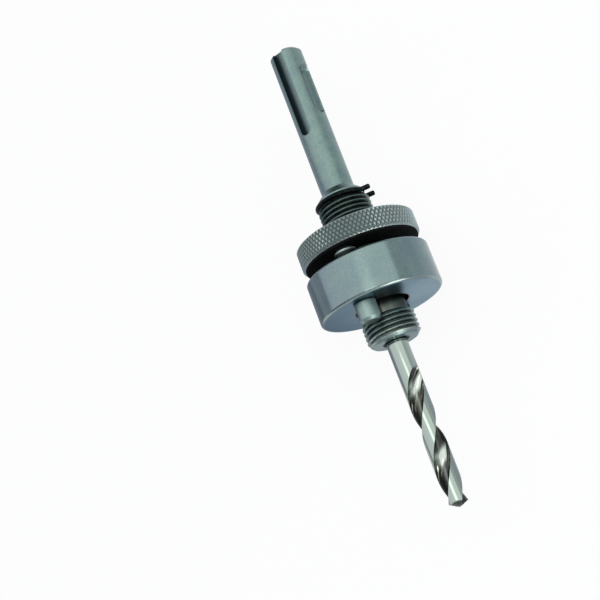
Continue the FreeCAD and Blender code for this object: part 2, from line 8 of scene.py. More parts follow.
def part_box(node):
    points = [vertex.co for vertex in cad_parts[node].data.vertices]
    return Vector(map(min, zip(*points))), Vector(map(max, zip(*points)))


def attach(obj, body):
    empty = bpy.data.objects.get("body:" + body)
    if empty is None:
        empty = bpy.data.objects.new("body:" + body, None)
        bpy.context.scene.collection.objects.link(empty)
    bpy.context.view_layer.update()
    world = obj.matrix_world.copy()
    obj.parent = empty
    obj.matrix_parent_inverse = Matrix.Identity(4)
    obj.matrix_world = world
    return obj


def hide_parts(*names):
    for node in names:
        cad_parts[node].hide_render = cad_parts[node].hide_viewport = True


bl_info = {
    "name": "Hole saw arbor",
    "version": (1, 0, 0),
    "blender": (4, 5, 0),
    "location": "3D View > Sidebar > Arbor",
    "description": "Dresses the packed hole saw arbor with its threads, finishes and studio",
    "category": "Object",
}

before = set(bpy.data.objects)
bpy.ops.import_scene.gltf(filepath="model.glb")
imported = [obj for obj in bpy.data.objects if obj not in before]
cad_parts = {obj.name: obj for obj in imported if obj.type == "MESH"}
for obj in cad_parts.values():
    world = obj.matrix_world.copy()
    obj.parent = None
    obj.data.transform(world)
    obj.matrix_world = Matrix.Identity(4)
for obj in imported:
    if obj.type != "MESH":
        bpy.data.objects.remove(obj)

MM = 0.001
AXIS = Vector((1, 0, 0))
WHITE = (1.0, 1.0, 1.0, 1.0)

# Corners closer than this are merged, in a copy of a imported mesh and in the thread's cutter
PACKED_MERGE = 0.002 * MM
CUTTER_MERGE = 0.0005 * MM
# The thread's crests and roots are flat for these shares of the pitch
CREST_FLAT = 1 / 8
ROOT_FLAT = 1 / 6
# The cutter stands this far out of the thread's crests
OVERCUT = 0.3 * MM
# A body whose thread has been cut has more faces than this
LEAST_CUT_FACES = 10000
# Edges flatter than this are shaded smooth
SMOOTH_UNDER = math.radians(32)

# The two ends of a mask in mm, where it has no start or no end on the piece
NO_START = (-2000.0, -1000.0)
NO_END = (1000.0, 2000.0)

# The mill cut the drive grooves this far round from the drive pins
GROOVE_TURN = math.radians(-9)
# Middle of the painted reflection and shadow of the neck on the plate's front face
SHADE_PATCH_MIDDLE = (0.0, 5.6 * MM, 9.2 * MM)
# Direction across the painted highlights on the drill's flutes, along X but for the slant
ACROSS_HIGHLIGHTS = (1.0, 0.51, -0.24)

# How strong each painted shade is, as a share of its colour
FRONT_THREAD_SHADE = 0.8
REAR_THREAD_SHADE = 0.4
BALL_RECESS_SHADE = 0.35
PLATE_FACE_SHADE = 0.7
# Roughness that is added on the nut's chamfers, and on the plate's ground face and rubbed corner
NUT_RIM_DULL = 0.18
PLATE_FACE_DULL = 0.1

# Brightness of the walls behind the shank and on the slant ahead of the drill, as a share of the rest
WALL_BEHIND = 1 / 8
WALL_AHEAD = 0.25
FLOOR_SIZE = 6
# Share of the floor that is white by itself, beside the paper that takes the arbor's shadow
FLOOR_WHITE = 0.92
# Each soft box: its place, the point that it faces, and its size
TOP_BOX = ((-0.40, -0.40, 0.80), (-0.40, -0.40, 0.0), (1.1, 4.6))
STRIP_BOX = ((0.095, 0.15, 0.66), (0.095, 0.15, 0.0), (0.47, 0.24))
FRONT_BOX = ((0.50, 0.39, 0.16), (0.0, 0.0, 0.0), (0.55, 0.34))
LAMP_TINT = (1.0, 1.0, 0.95)
# Watts for each square metre of a lamp that a mirror shows as white
LAMP_WHITE = 4
# The camera's sensor in mm, and the nearest and the farthest that it sees in m
SENSOR_WIDTH = 36
CAMERA_NEAR = 0.01
CAMERA_FAR = 10


class ArborSizes(bpy.types.PropertyGroup):
    """Sizes of the body's thread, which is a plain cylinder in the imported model. The stretch for
    the nut and the stretch for the saw are parts of one helix."""

    pitch: FloatProperty(
        name="Pitch", description="Distance from crest to crest", default=25.4 / 18 * MM,
        unit="LENGTH", precision=5,
    )
    major: FloatProperty(
        name="Major diameter", description="Diameter over the crests", default=15.875 * MM,
        unit="LENGTH", precision=5,
    )
    depth: FloatProperty(
        name="Depth", description="Depth of the thread's valley", default=0.866 * MM,
        unit="LENGTH", precision=5,
    )
    rear_end: FloatProperty(
        name="Rear end", description="X of the thread's rear end, in the snap ring's groove",
        default=-33.9 * MM, unit="LENGTH", precision=5,
    )
    front_end: FloatProperty(
        name="Front end", description="X past the nose, where the cutter leaves the body",
        default=12.4 * MM, unit="LENGTH", precision=5,
    )
    start_turn: FloatProperty(
        name="Start turn", description="Angle about the axis at which the thread starts",
        default=0.0, subtype="ANGLE",
    )
    steps: IntProperty(
        name="Steps", description="Steps in one turn of the thread", default=72, min=24, max=192,
    )


class ArborColours(bpy.types.PropertyGroup):
    """Finish colours, and the colours of painted shade and painted highlights, as sRGB hex values."""

    turned: StringProperty(name="Turned steel", description="Shank and body", default="899E95")
    turned_dull: StringProperty(name="Turned steel, dull", description="Handled places", default="768B8E")
    neck: StringProperty(name="Neck", description="Brown stain on the neck", default="787D75")
    rubbed: StringProperty(name="Rubbed edge", description="Bright edge of the nose", default="ABB4AA")
    # Painted shade: the dark colour of the threads' valleys, the neck's corner and side, the drill's mouth,
    # the plate's bore and face, and the pins' foot and tail
    oil: StringProperty(name="Oil", description="Oil and grit in valleys and corners", default="252927")
    # Black scale, with painted shade towards one wall of the drive grooves
    scale: StringProperty(name="Scale", description="Black scale left in the drive grooves", default="435054")
    knurled: StringProperty(name="Knurled steel", description="Points of the knurl", default="939CA0")
    # Painted highlight on the knurl's points on the nut's +Y side
    knurl_lit_side: StringProperty(
        name="Knurled steel, rubbed", description="Points that a hand has rubbed", default="D4DDE0",
    )
    nut_rim: StringProperty(name="Nut rim", description="Bright chamfers beside the knurl", default="B5C0C4")
    # Painted shade in the knurl's valleys
    knurl_valley_shade: StringProperty(
        name="Knurl valleys", description="Oiled steel between points", default="1A1F20",
    )
    plate: StringProperty(name="Plate steel", description="Drive plate", default="819390")
    plate_dull: StringProperty(name="Plate steel, dull", description="Handled places", default="74868A")
    plate_corner: StringProperty(name="Plate corner", description="Rubbed front corner", default="95A4A1")
    # Painted shade: the front face's darker, colder colour
    plate_face: StringProperty(name="Plate face", description="Ground front face", default="557C8B")
    pin: StringProperty(name="Pin steel", description="Drive pins", default="90A2A1")
    # Painted highlight on the pins' rear ends
    pin_end_highlight: StringProperty(name="Pin's end", description="Rubbed rear end of a pin", default="D2DEDC")
    drill: StringProperty(name="Drill steel", description="Ground high-speed steel", default="A0ABA3")
    # Painted highlight across the drill's flutes
    flute_highlight: StringProperty(name="Flute steel, wiped", description="Wiped patches", default="C4C9C0")
    # Brown tint and painted shade deep in the drill's flutes
    flute_tint_and_shade: StringProperty(
        name="Flute steel", description="Browned steel deep in the flutes", default="342D25",
    )
    black: StringProperty(name="Black oxide", description="Snap ring and grub screw", default="181C1D")
    black_worn: StringProperty(name="Black oxide, worn", description="Rubbed edges", default="343C3D")
    fibre: StringProperty(name="Black fibre", description="Friction washer", default="060707")
    fibre_dust: StringProperty(name="Fibre dust", description="Grey dust on the washer", default="101313")
    paper: StringProperty(name="Paper", description="White paper under the arbor", default="F2F4F5")
    paper_near: StringProperty(
        name="Paper, near", description="Beside the arbor, as metal shows it", default="F3F5FB",
    )
    paper_left: StringProperty(
        name="Paper, left", description="Its dark side, as metal shows it", default="C1C6D3",
    )
    paper_right: StringProperty(
        name="Paper, right", description="Its other side, as metal shows it", default="DBE4EA",
    )
    paper_shade: StringProperty(name="Paper, shaded", description="In the plate's shade", default="8A919E")
    wall_left: StringProperty(name="Walls, left", description="As metal shows them", default="C5C6D8")
    wall_right: StringProperty(name="Walls, right", description="As metal shows them", default="E0E8EA")


class ArborStudio(bpy.types.PropertyGroup):
    """Camera of the photograph's view, and the lamps."""

    camera_place: FloatVectorProperty(
        name="Camera place", description="Where the camera stands", size=3, subtype="TRANSLATION",
        unit="LENGTH", default=(0.09900, 0.13248, 0.33508),
    )
    camera_turn: FloatVectorProperty(
        name="Camera turn", description="The camera's rotation", size=3, subtype="EULER",
        default=tuple(math.radians(a) for a in (6.66263, 29.17465, 67.79016)),
    )
    lens: FloatProperty(
        name="Lens", description="Focal length on a 36 mm sensor", default=78.345, unit="CAMERA",
    )
    top_light: FloatProperty(
        name="Top light", description="Brightness of the wide soft box overhead", default=0.483,
    )
    strip_light: FloatProperty(
        name="Strip light", description="Brightness of the narrow soft box", default=1.0,
    )
    front_light: FloatProperty(
        name="Front light", description="Brightness of the low soft box ahead of the drill", default=2.53,
    )
    wall: FloatProperty(
        name="Walls", description="Brightness of the studio's white walls", default=0.92,
    )


def linear(hex_colour):
    """An sRGB hex value as linear red, green, blue and alpha."""
    channels = []
    for i in (0, 2, 4):
        value = int(hex_colour[i:i + 2], 16) / 255
        channels.append(value / 12.92 if value <= 0.04045 else ((value + 0.055) / 1.055) ** 2.4)
    return (*channels, 1.0)


def add_node(tree, kind, values=None, links=None, **settings):
    """Add a node, set its settings and its sockets' values, and link its sockets to other nodes,
    each given as an output or as a node, whose first output in use is meant."""
    made = tree.nodes.new(kind)
    for name, value in settings.items():
        setattr(made, name, value)
    for socket, value in (values or {}).items():
        made.inputs[socket].default_value = value
    for socket, source in (links or {}).items():
        if isinstance(source, bpy.types.Node):
            source = next(output for output in source.outputs if output.enabled)
        tree.links.new(source, made.inputs[socket])
    return made


def new_material(name):
    """An empty node material, with its tree and its output node."""
    material = bpy.data.materials.new(name)
    material.use_nodes = True
    material.node_tree.nodes.clear()
    output = add_node(material.node_tree, "ShaderNodeOutputMaterial")
    return material, material.node_tree, output


def select_only(piece):
    """Make a piece the only one that is selected, and the active one."""
    bpy.ops.object.select_all(action="DESELECT")
    piece.select_set(True)
    bpy.context.view_layer.objects.active = piece


def dress(piece, material):
    """Give a piece its one material."""
    piece.data.materials.clear()
    piece.data.materials.append(material)


def copy_of_node(node_name, new_name):
    """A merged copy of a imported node's mesh, as a new piece with clean normals."""
    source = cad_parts[node_name]
    piece = bpy.data.objects.new(new_name, source.data.copy())
    bpy.context.scene.collection.objects.link(piece)
    select_only(piece)
    bpy.ops.mesh.customdata_custom_splitnormals_clear()
    bpy.ops.object.mode_set(mode="EDIT")
    bpy.ops.mesh.select_all(action="SELECT")
    bpy.ops.mesh.remove_doubles(threshold=PACKED_MERGE)
    bpy.ops.object.mode_set(mode="OBJECT")
    return piece


def lathe_place(tree):
    """Where a point is on a turned piece: its place, its X along the axis and its distance from
    the axis."""
    place = add_node(tree, "ShaderNodeTexCoord").outputs["Object"]
    along = add_node(tree, "ShaderNodeSeparateXYZ", links={0: place}).outputs["X"]
    across = add_node(tree, "ShaderNodeVectorMath", {1: (0.0, 1.0, 1.0)}, {0: place}, operation="MULTIPLY")
    radius = add_node(tree, "ShaderNodeVectorMath", links={0: across}, operation="LENGTH").outputs["Value"]
    return place, along, radius


def tool_marks(tree, along, radius, spacing):
    """Rings round a turned piece, about a spacing in mm apart."""
    rings = add_node(tree, "ShaderNodeCombineXYZ", links={0: along, 1: radius})
    return add_node(tree, "ShaderNodeTexNoise", {"Scale": 1 / (spacing * MM), "Detail": 2.0},
                    {"Vector": rings})


def handled_steel(tree, place, patch, grit, dull, fresh):
    """Steel that hands have dulled in patches of one size in mm, broken up by a grain of another:
    the patches, the grain, the share of fresh steel and the colour."""
    patches = add_node(tree, "ShaderNodeTexNoise", {"Scale": 1 / (patch * MM), "Detail": 4.0},
                       {"Vector": place})
    grain = add_node(tree, "ShaderNodeTexNoise", {"Scale": 1 / (grit * MM), "Detail": 3.0},
                     {"Vector": place})
    mottle = add_node(tree, "ShaderNodeMath", links={0: patches, 1: grain}, operation="ADD")
    share = add_node(tree, "ShaderNodeMapRange", {"From Min": 0.75, "From Max": 1.25}, {"Value": mottle})
    steel = add_node(tree, "ShaderNodeMix", {"A": linear(dull), "B": linear(fresh)}, {"Factor": share},
                     data_type="RGBA")
    return patches, grain, share, steel


def band(tree, value, start, full, end, gone):
    """A mask along a value in mm: 0 before start, 1 from full to end, and 0 past gone."""
    rise = add_node(tree, "ShaderNodeMapRange", {"From Min": start * MM, "From Max": full * MM},
                    {"Value": value}, interpolation_type="SMOOTHSTEP")
    fall = add_node(tree, "ShaderNodeMapRange", {"From Min": gone * MM, "From Max": end * MM},
                    {"Value": value}, interpolation_type="SMOOTHSTEP")
    return add_node(tree, "ShaderNodeMath", links={0: rise, 1: fall}, operation="MULTIPLY")


def bare_metal(tree, output, colour, roughness, relief, depth, spread=0.0):
    """The surface of a bare metal: its colour and roughness, a relief of some mm, and how far its
    highlights are drawn out. The quarter turn draws them along the axis, across the marks that run
    round the piece."""
    around = add_node(tree, "ShaderNodeTangent", direction_type="RADIAL", axis="X")
    bump = add_node(tree, "ShaderNodeBump", {"Strength": 1.0, "Distance": depth * MM}, {"Height": relief})
    surface = add_node(tree, "ShaderNodeBsdfPrincipled",
                       {"Metallic": 1.0, "Anisotropic": spread, "Anisotropic Rotation": 0.25},
                       {"Base Color": colour, "Roughness": roughness, "Normal": bump, "Tangent": around})
    tree.links.new(surface.outputs["BSDF"], output.inputs["Surface"])


def drive_groove_scale_and_shade(tree, place, radius):
    """1 in the two drive grooves, where the black scale is left, strongest by one wall and fading across the
    groove as painted shade.
    """
    level = add_node(tree, "ShaderNodeMapping", {"Rotation": (GROOVE_TURN, 0.0, 0.0)}, {"Vector": place})
    apart = add_node(tree, "ShaderNodeSeparateXYZ", links={0: level})
    width = band(tree, apart.outputs["Y"], -2.0, -1.8, -1.2, 1.4)
    depth = band(tree, radius, *NO_START, 4.7, 4.98)
    length = band(tree, apart.outputs["X"], -85.2, -84.9, -55.9, -55.0)
    floor = add_node(tree, "ShaderNodeMath", links={0: width, 1: depth}, operation="MULTIPLY")
    return add_node(tree, "ShaderNodeMath", links={0: floor, 1: length}, operation="MULTIPLY")


def turned_steel(colours):
    """Turned alloy steel, oiled and not plated: a satin grey with a faint green cast and soft
    patches where it was handled. The threads' valleys, the rear thread, the neck's corner and
    +Y side, the drill's mouth and the ball recesses are darkened as painted shade. The neck is
    stained brown, the nose is rubbed bright and the drive grooves keep their black scale, with
    painted shade towards one wall."""
    material, tree, output = new_material("turned_alloy_steel")
    place, along, radius = lathe_place(tree)
    # Tool marks are 0.1 mm apart, drawn 0.4 mm apart so that they show
    marks = tool_marks(tree, along, radius, 0.4)
    # Handled patches are 3 mm across, broken up by a grain of 0.6 mm
    patches, grain, share, steel = handled_steel(tree, place, 3.0, 0.6, colours.turned_dull, colours.turned)

    # Painted shade lies in the valleys of both threads and ends in a ragged line up their sides
    ragged = add_node(tree, "ShaderNodeMath", {1: 1.2 * MM}, {0: grain, 2: radius},
                      operation="MULTIPLY_ADD")
    valley = band(tree, ragged, 6.5, 6.9, 7.9, 8.4)
    rear = band(tree, along, -33.4, -33.3, -2.0, 0.0)
    front = band(tree, along, 3.6, 4.0, 9.4, 10.4)
    # The front thread's painted shade is lighter than the rear's
    lightened = add_node(tree, "ShaderNodeMath", {1: FRONT_THREAD_SHADE}, {0: front}, operation="MULTIPLY")
    threads = add_node(tree, "ShaderNodeMath", links={0: rear, 1: lightened}, operation="MAXIMUM")
    in_valleys = add_node(tree, "ShaderNodeMath", links={0: valley, 1: threads}, operation="MULTIPLY")
    # Painted shade: the rear thread is darkened over its crests too
    rear_shade = add_node(tree, "ShaderNodeMath", {1: REAR_THREAD_SHADE}, {0: rear}, operation="MULTIPLY")
    in_threads = add_node(tree, "ShaderNodeMath", links={0: in_valleys, 1: rear_shade}, operation="MAXIMUM")

    # Painted shade on the neck, darkest in the corner with the plate and along its +Y side, and in the
    # drill's mouth in the nose
    corner = band(tree, along, -3.0, -1.0, 0.5, 2.6)
    apart = add_node(tree, "ShaderNodeSeparateXYZ", links={0: place})
    side = band(tree, apart.outputs["Y"], 4.6, 8.0, *NO_END)
    run = band(tree, along, -3.0, -1.0, 3.5, 4.2)
    side_run = add_node(tree, "ShaderNodeMath", links={0: side, 1: run}, operation="MULTIPLY")
    neck_shade = add_node(tree, "ShaderNodeMath", links={0: corner, 1: side_run}, operation="MAXIMUM")
    neck = band(tree, radius, 4.0, 4.5, 6.8, 6.95)
    on_neck = add_node(tree, "ShaderNodeMath", links={0: neck_shade, 1: neck}, operation="MULTIPLY")
    mouth = band(tree, radius, *NO_START, 3.9, 4.3)
    nose = band(tree, along, 9.6, 10.2, 12.0, 13.0)
    in_mouth = add_node(tree, "ShaderNodeMath", links={0: mouth, 1: nose}, operation="MULTIPLY")
    corners = add_node(tree, "ShaderNodeMath", links={0: on_neck, 1: in_mouth}, operation="MAXIMUM")
    painted_shade_mask = add_node(tree, "ShaderNodeMath", links={0: in_threads, 1: corners}, operation="MAXIMUM")
    brown = add_node(tree, "ShaderNodeMath", links={0: neck, 1: run}, operation="MULTIPLY")

    # Saws have rubbed the last crest and the edge of the nose bright
    last_crest = band(tree, along, 8.2, 9.2, 11.4, 12.3)
    outside = band(tree, radius, 7.0, 7.3, *NO_END)
    edge = add_node(tree, "ShaderNodeMath", links={0: last_crest, 1: outside}, operation="MULTIPLY")
    worn = add_node(tree, "ShaderNodeMath", links={0: edge, 1: share}, operation="MULTIPLY")
    rubbed = add_node(tree, "ShaderNodeMix", {"B": linear(colours.rubbed)}, {"Factor": worn, "A": steel},
                      data_type="RGBA")
    stained = add_node(tree, "ShaderNodeMix", {"B": linear(colours.neck)}, {"Factor": brown, "A": rubbed},
                       data_type="RGBA")
    oily = add_node(tree, "ShaderNodeMix", {"B": linear(colours.oil)}, {"Factor": painted_shade_mask, "A": stained},
                    data_type="RGBA")

    # Scale lies in the drive grooves, with painted shade towards one wall, and the ball recesses are painted
    # a little darker than the shank as painted shade
    recess_run = band(tree, along, -83.0, -82.0, -62.0, -61.0)
    recess_depth = band(tree, radius, *NO_START, 4.5, 4.95)
    sunk = add_node(tree, "ShaderNodeMath", links={0: recess_run, 1: recess_depth}, operation="MULTIPLY")
    recess = add_node(tree, "ShaderNodeMath", {1: BALL_RECESS_SHADE}, {0: sunk}, operation="MULTIPLY")
    black = add_node(tree, "ShaderNodeMath", links={0: drive_groove_scale_and_shade(tree, place, radius), 1: recess},
                     operation="MAXIMUM")
    colour = add_node(tree, "ShaderNodeMix", {"B": linear(colours.scale)}, {"Factor": black, "A": oily},
                      data_type="RGBA")
    rough = add_node(tree, "ShaderNodeMapRange", {"To Min": 0.26, "To Max": 0.42}, {"Value": patches})
    relief = add_node(tree, "ShaderNodeMath", links={0: marks, 1: grain}, operation="ADD")
    bare_metal(tree, output, colour, rough, relief, 0.004, 0.4)
    return material


def knurled_steel(colours):
    """Diamond-knurled steel: each point is rubbed bright, and the valleys are darkened as painted
    shade. The points on the nut's +Y side have a painted highlight. The chamfers beside the knurl
    are bright too, but duller in their shine."""
    material, tree, output = new_material("knurled_steel")
    place, along, radius = lathe_place(tree)
    # The points are 18.0 mm from the axis and the valleys between them 17.66 mm
    points = band(tree, radius, 17.55, 17.86, *NO_END)
    knurl = band(tree, along, -23.15, -23.0, -17.6, -17.45)
    # Scuffs are about 0.5 mm across
    grain = add_node(tree, "ShaderNodeTexNoise", {"Scale": 1 / (0.5 * MM), "Detail": 4.0}, {"Vector": place})
    # On the chamfers and faces outside the knurl the steel is as bright as on its points
    plain = add_node(tree, "ShaderNodeMath", {0: 1.0}, {1: knurl}, operation="SUBTRACT")
    rubbed = add_node(tree, "ShaderNodeMath", links={0: points, 1: plain}, operation="MAXIMUM")
    # Painted highlight: the points on the nut's +Y side are painted brighter
    apart = add_node(tree, "ShaderNodeSeparateXYZ", links={0: place})
    lit_side = band(tree, apart.outputs["Y"], 11.0, 17.0, *NO_END)
    tips = add_node(tree, "ShaderNodeMix", {"A": linear(colours.knurled), "B": linear(colours.knurl_lit_side)},
                    {"Factor": lit_side}, data_type="RGBA")
    rim = add_node(tree, "ShaderNodeMix", {"B": linear(colours.nut_rim)}, {"Factor": plain, "A": tips},
                   data_type="RGBA")
    steel = add_node(tree, "ShaderNodeMix", {"A": linear(colours.turned)}, {"Factor": grain, "B": rim},
                     data_type="RGBA")
    # Painted shade: the valleys between the points are darkened
    colour = add_node(tree, "ShaderNodeMix", {"A": linear(colours.knurl_valley_shade)},
                      {"Factor": rubbed, "B": steel}, data_type="RGBA")
    smooth = add_node(tree, "ShaderNodeMapRange", {"To Min": 0.5, "To Max": 0.3}, {"Value": rubbed})
    dull_rim = add_node(tree, "ShaderNodeMath", {1: NUT_RIM_DULL}, {0: plain}, operation="MULTIPLY")
    rough = add_node(tree, "ShaderNodeMath", links={0: smooth, 1: dull_rim}, operation="ADD")
    bare_metal(tree, output, colour, rough, grain, 0.006)
    return material


def plate_steel(colours):
    """Fine-turned steel: its marks run round it, so the edge of a lamp stays sharp across the
    rim. The ground front face is duller, and painted darker and colder as shade, and the rounded
    corner round it is rubbed. The bore is darkened as painted shade, and a painted reflection and
    shadow of the neck darkens the face beside it."""
    material, tree, output = new_material("fine_turned_steel")
    place, along, radius = lathe_place(tree)
    # Tool marks are 0.08 mm apart, drawn 0.35 mm apart so that they show
    marks = tool_marks(tree, along, radius, 0.35)
    # Handled patches are 5 mm across, broken up by a grain of 0.5 mm
    patches, grain, _, steel = handled_steel(tree, place, 5.0, 0.5, colours.plate_dull, colours.plate)
    # The front face was ground after the turning; its darker, cold blue colour is painted shade
    ground = band(tree, along, -0.25, -0.05, *NO_END)
    shaded_face = add_node(tree, "ShaderNodeMix", {"B": linear(colours.plate_face)}, {"Factor": ground, "A": steel},
                    data_type="RGBA")
    # The rounded front corner is rubbed bright
    outermost = band(tree, radius, 17.5, 17.9, 18.38, 18.44)
    foremost = band(tree, along, -1.1, -0.9, *NO_END)
    worn = add_node(tree, "ShaderNodeMath", links={0: outermost, 1: foremost}, operation="MULTIPLY")
    rubbed = add_node(tree, "ShaderNodeMix", {"B": linear(colours.plate_corner)},
                      {"Factor": worn, "A": shaded_face}, data_type="RGBA")
    # Painted shade darkens the bore, and a painted reflection and shadow of the neck darkens the face beside
    # it
    bore = band(tree, radius, *NO_START, 8.2, 8.6)
    from_shade_patch = add_node(tree, "ShaderNodeVectorMath", {1: SHADE_PATCH_MIDDLE}, {0: place},
                          operation="DISTANCE").outputs["Value"]
    patch_mask = band(tree, from_shade_patch, *NO_START, 1.5, 7.0)
    on_face = add_node(tree, "ShaderNodeMath", links={0: patch_mask, 1: ground}, operation="MULTIPLY")
    face_shade = add_node(tree, "ShaderNodeMath", {1: PLATE_FACE_SHADE}, {0: on_face}, operation="MULTIPLY")
    oiled = add_node(tree, "ShaderNodeMath", links={0: bore, 1: face_shade}, operation="MAXIMUM")
    colour = add_node(tree, "ShaderNodeMix", {"B": linear(colours.oil)}, {"Factor": oiled, "A": rubbed},
                      data_type="RGBA")
    fine = add_node(tree, "ShaderNodeMapRange", {"To Min": 0.13, "To Max": 0.25}, {"Value": patches})
    soft = add_node(tree, "ShaderNodeMath", links={0: ground, 1: worn}, operation="MAXIMUM")
    coarse = add_node(tree, "ShaderNodeMath", {1: PLATE_FACE_DULL}, {0: soft}, operation="MULTIPLY")
    rough = add_node(tree, "ShaderNodeMath", links={0: fine, 1: coarse}, operation="ADD")
    relief = add_node(tree, "ShaderNodeMath", links={0: marks, 1: grain}, operation="ADD")
    bare_metal(tree, output, colour, rough, relief, 0.002, 0.6)
    return material


def pin_steel(colours):
    """Ground dowel steel, dulled by the saws it has turned: a soft satin with no sharp reflection."""
    material, tree, output = new_material("ground_dowel_steel")
    place, along, _ = lathe_place(tree)
    # Scuffs are about 0.6 mm across
    grain = add_node(tree, "ShaderNodeTexNoise", {"Scale": 1 / (0.6 * MM), "Detail": 4.0}, {"Vector": place})
    steel = add_node(tree, "ShaderNodeMix", {"A": linear(colours.turned), "B": linear(colours.pin)},
                     {"Factor": grain}, data_type="RGBA")
    # Painted shade round the foot, in the corner with the plate, and in the gap behind it, up to the rear end
    foot = band(tree, along, -1.0, -0.5, 0.1, 0.7)
    tail = band(tree, along, -15.4, -14.9, -13.0, -12.0)
    oiled = add_node(tree, "ShaderNodeMath", links={0: foot, 1: tail}, operation="MAXIMUM")
    # Painted highlight: the rear end is painted bright
    end = band(tree, along, *NO_START, -15.6, -15.2)
    rubbed = add_node(tree, "ShaderNodeMix", {"B": linear(colours.pin_end_highlight)}, {"Factor": end, "A": steel},
                      data_type="RGBA")
    colour = add_node(tree, "ShaderNodeMix", {"B": linear(colours.oil)}, {"Factor": oiled, "A": rubbed},
                      data_type="RGBA")
    rough = add_node(tree, "ShaderNodeMapRange", {"To Min": 0.34, "To Max": 0.5}, {"Value": grain})
    bare_metal(tree, output, colour, rough, grain, 0.006)
    return material


def drill_steel(colours):
    """Ground high-speed steel: its lands are bright and nearly mirrors. Its flutes are brown
    from the wheel's heat and darkened as painted shade, with one painted highlight across each."""
    material, tree, output = new_material("ground_high_speed_steel")
    place, along, radius = lathe_place(tree)
    # Grinding lines are 0.05 mm apart, drawn 0.3 mm apart so that they show
    marks = tool_marks(tree, along, radius, 0.3)
    # Smears of oil are about 1.5 mm across
    patch_mask = add_node(tree, "ShaderNodeTexNoise", {"Scale": 1 / (1.5 * MM), "Detail": 4.0}, {"Vector": place})
    # The lands are 3.2 mm from the axis, and the floors of the flutes 0.7 mm
    deep = band(tree, radius, 0.3, 0.9, 2.6, 3.1)
    stained = add_node(tree, "ShaderNodeMapRange", {"To Min": 0.7, "To Max": 1.0}, {"Value": patch_mask})
    # Painted highlight: each flute is painted bright once, in a slanting patch 21 mm from the other's
    slant = add_node(tree, "ShaderNodeVectorMath", {1: ACROSS_HIGHLIGHTS}, {0: place},
                     operation="DOT_PRODUCT").outputs["Value"]
    first = band(tree, slant, 22.8, 24.6, 26.2, 28.0)
    second = band(tree, slant, 43.8, 45.6, 47.2, 49.0)
    lightened = add_node(tree, "ShaderNodeMath", links={0: first, 1: second}, operation="MAXIMUM")
    oily = add_node(tree, "ShaderNodeMath", {0: 1.0}, {1: lightened}, operation="SUBTRACT")
    brown = add_node(tree, "ShaderNodeMath", links={0: deep, 1: stained}, operation="MULTIPLY")
    flute_tint_and_shade = add_node(tree, "ShaderNodeMath", links={0: brown, 1: oily}, operation="MULTIPLY")
    # Share of the painted highlight's colour in the flutes
    bare = add_node(tree, "ShaderNodeMath", links={0: deep, 1: lightened}, operation="MULTIPLY")
    steel = add_node(tree, "ShaderNodeMix", {"A": linear(colours.drill), "B": linear(colours.flute_highlight)},
                     {"Factor": bare}, data_type="RGBA")
    colour = add_node(tree, "ShaderNodeMix", {"B": linear(colours.flute_tint_and_shade)}, {"Factor": flute_tint_and_shade, "A": steel},
                      data_type="RGBA")
    rough = add_node(tree, "ShaderNodeMapRange", {"To Min": 0.04, "To Max": 0.11}, {"Value": patch_mask})
    bare_metal(tree, output, colour, rough, marks, 0.002)
    return material


def black_oxide(colours, name):
    """Black oxide on steel: a thin, slightly oily black that wears grey in small places."""
    material, tree, output = new_material(name)
    place = add_node(tree, "ShaderNodeTexCoord").outputs["Object"]
    # Worn spots are about 1.2 mm across
    wear = add_node(tree, "ShaderNodeTexNoise", {"Scale": 1 / (1.2 * MM), "Detail": 4.0}, {"Vector": place})
    share = add_node(tree, "ShaderNodeMapRange", {"From Min": 0.45, "From Max": 0.75}, {"Value": wear})
    colour = add_node(tree, "ShaderNodeMix", {"A": linear(colours.black), "B": linear(colours.black_worn)},
                      {"Factor": share}, data_type="RGBA")
    rough = add_node(tree, "ShaderNodeMapRange", {"To Min": 0.42, "To Max": 0.3}, {"Value": wear})
    bare_metal(tree, output, colour, rough, wear, 0.004)
    return material


def black_fibre(colours):
    """Pressed black fibre: matt, with fibres and grey metal dust, and no highlight."""
    material, tree, output = new_material("pressed_black_fibre")
    place = add_node(tree, "ShaderNodeTexCoord").outputs["Object"]
    # Fibres 0.1 mm thick, drawn 0.4 mm thick so that they show
    fibres = add_node(tree, "ShaderNodeTexNoise", {"Scale": 1 / (0.4 * MM), "Detail": 5.0, "Distortion": 1.5},
                      {"Vector": place})
    dust = add_node(tree, "ShaderNodeMapRange", {"From Min": 0.5, "From Max": 0.8}, {"Value": fibres})
    colour = add_node(tree, "ShaderNodeMix", {"A": linear(colours.fibre), "B": linear(colours.fibre_dust)},
                      {"Factor": dust}, data_type="RGBA")
    bump = add_node(tree, "ShaderNodeBump", {"Strength": 1.0, "Distance": 0.02 * MM}, {"Height": fibres})
    surface = add_node(tree, "ShaderNodeBsdfPrincipled",
                       {"IOR": 1.5, "Roughness": 0.85, "Specular IOR Level": 0.15},
                       {"Base Color": colour, "Normal": bump})
    tree.links.new(surface.outputs["BSDF"], output.inputs["Surface"])
    return material


